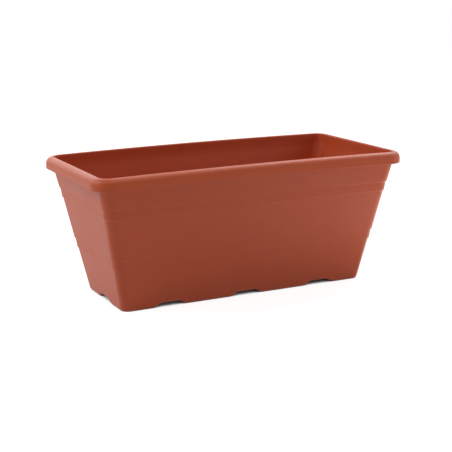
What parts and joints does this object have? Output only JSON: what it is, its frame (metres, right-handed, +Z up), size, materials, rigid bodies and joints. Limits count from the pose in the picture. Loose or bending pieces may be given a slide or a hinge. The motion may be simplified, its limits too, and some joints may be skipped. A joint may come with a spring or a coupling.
{
  "type": "window box planter",
  "caption": "Oblong tapering plastic window box with a hooked rim, stepped bands, arched feet and push-in plugs in its drain holes.",
  "frame": {"origin": "on the ground, under the middle of the box", "axes": "+X along the box, to the right seen from the front; the front is at -Y; +Z up"},
  "size_m": [0.4, 0.2, 0.165],
  "materials": {
    "trough_plastic": "satin, very finely textured terracotta polypropylene",
    "plug_plastic": "satin terracotta polypropylene"
  },
  "bodies": {
    "trough": {"trough": "trough_plastic"},
    "plug_front_left": {"drain_plug_front_left": "plug_plastic"},
    "plug_front_centre": {"drain_plug_front_centre": "plug_plastic"},
    "plug_front_right": {"drain_plug_front_right": "plug_plastic"},
    "plug_back_left": {"drain_plug_back_left": "plug_plastic"},
    "plug_back_centre": {"drain_plug_back_centre": "plug_plastic"},
    "plug_back_right": {"drain_plug_back_right": "plug_plastic"}
  },
  "joints": [
    {"name": "plug_front_left_lift", "type": "slide", "parent": "trough", "child": "plug_front_left", "axis": [0, 0, 1], "range_m": [0, 0.18]},
    {"name": "plug_front_centre_lift", "type": "slide", "parent": "trough", "child": "plug_front_centre", "axis": [0, 0, 1], "range_m": [0, 0.18]},
    {"name": "plug_front_right_lift", "type": "slide", "parent": "trough", "child": "plug_front_right", "axis": [0, 0, 1], "range_m": [0, 0.18]},
    {"name": "plug_back_left_lift", "type": "slide", "parent": "trough", "child": "plug_back_left", "axis": [0, 0, 1], "range_m": [0, 0.18]},
    {"name": "plug_back_centre_lift", "type": "slide", "parent": "trough", "child": "plug_back_centre", "axis": [0, 0, 1], "range_m": [0, 0.18]},
    {"name": "plug_back_right_lift", "type": "slide", "parent": "trough", "child": "plug_back_right", "axis": [0, 0, 1], "range_m": [0, 0.18]}
  ]
}
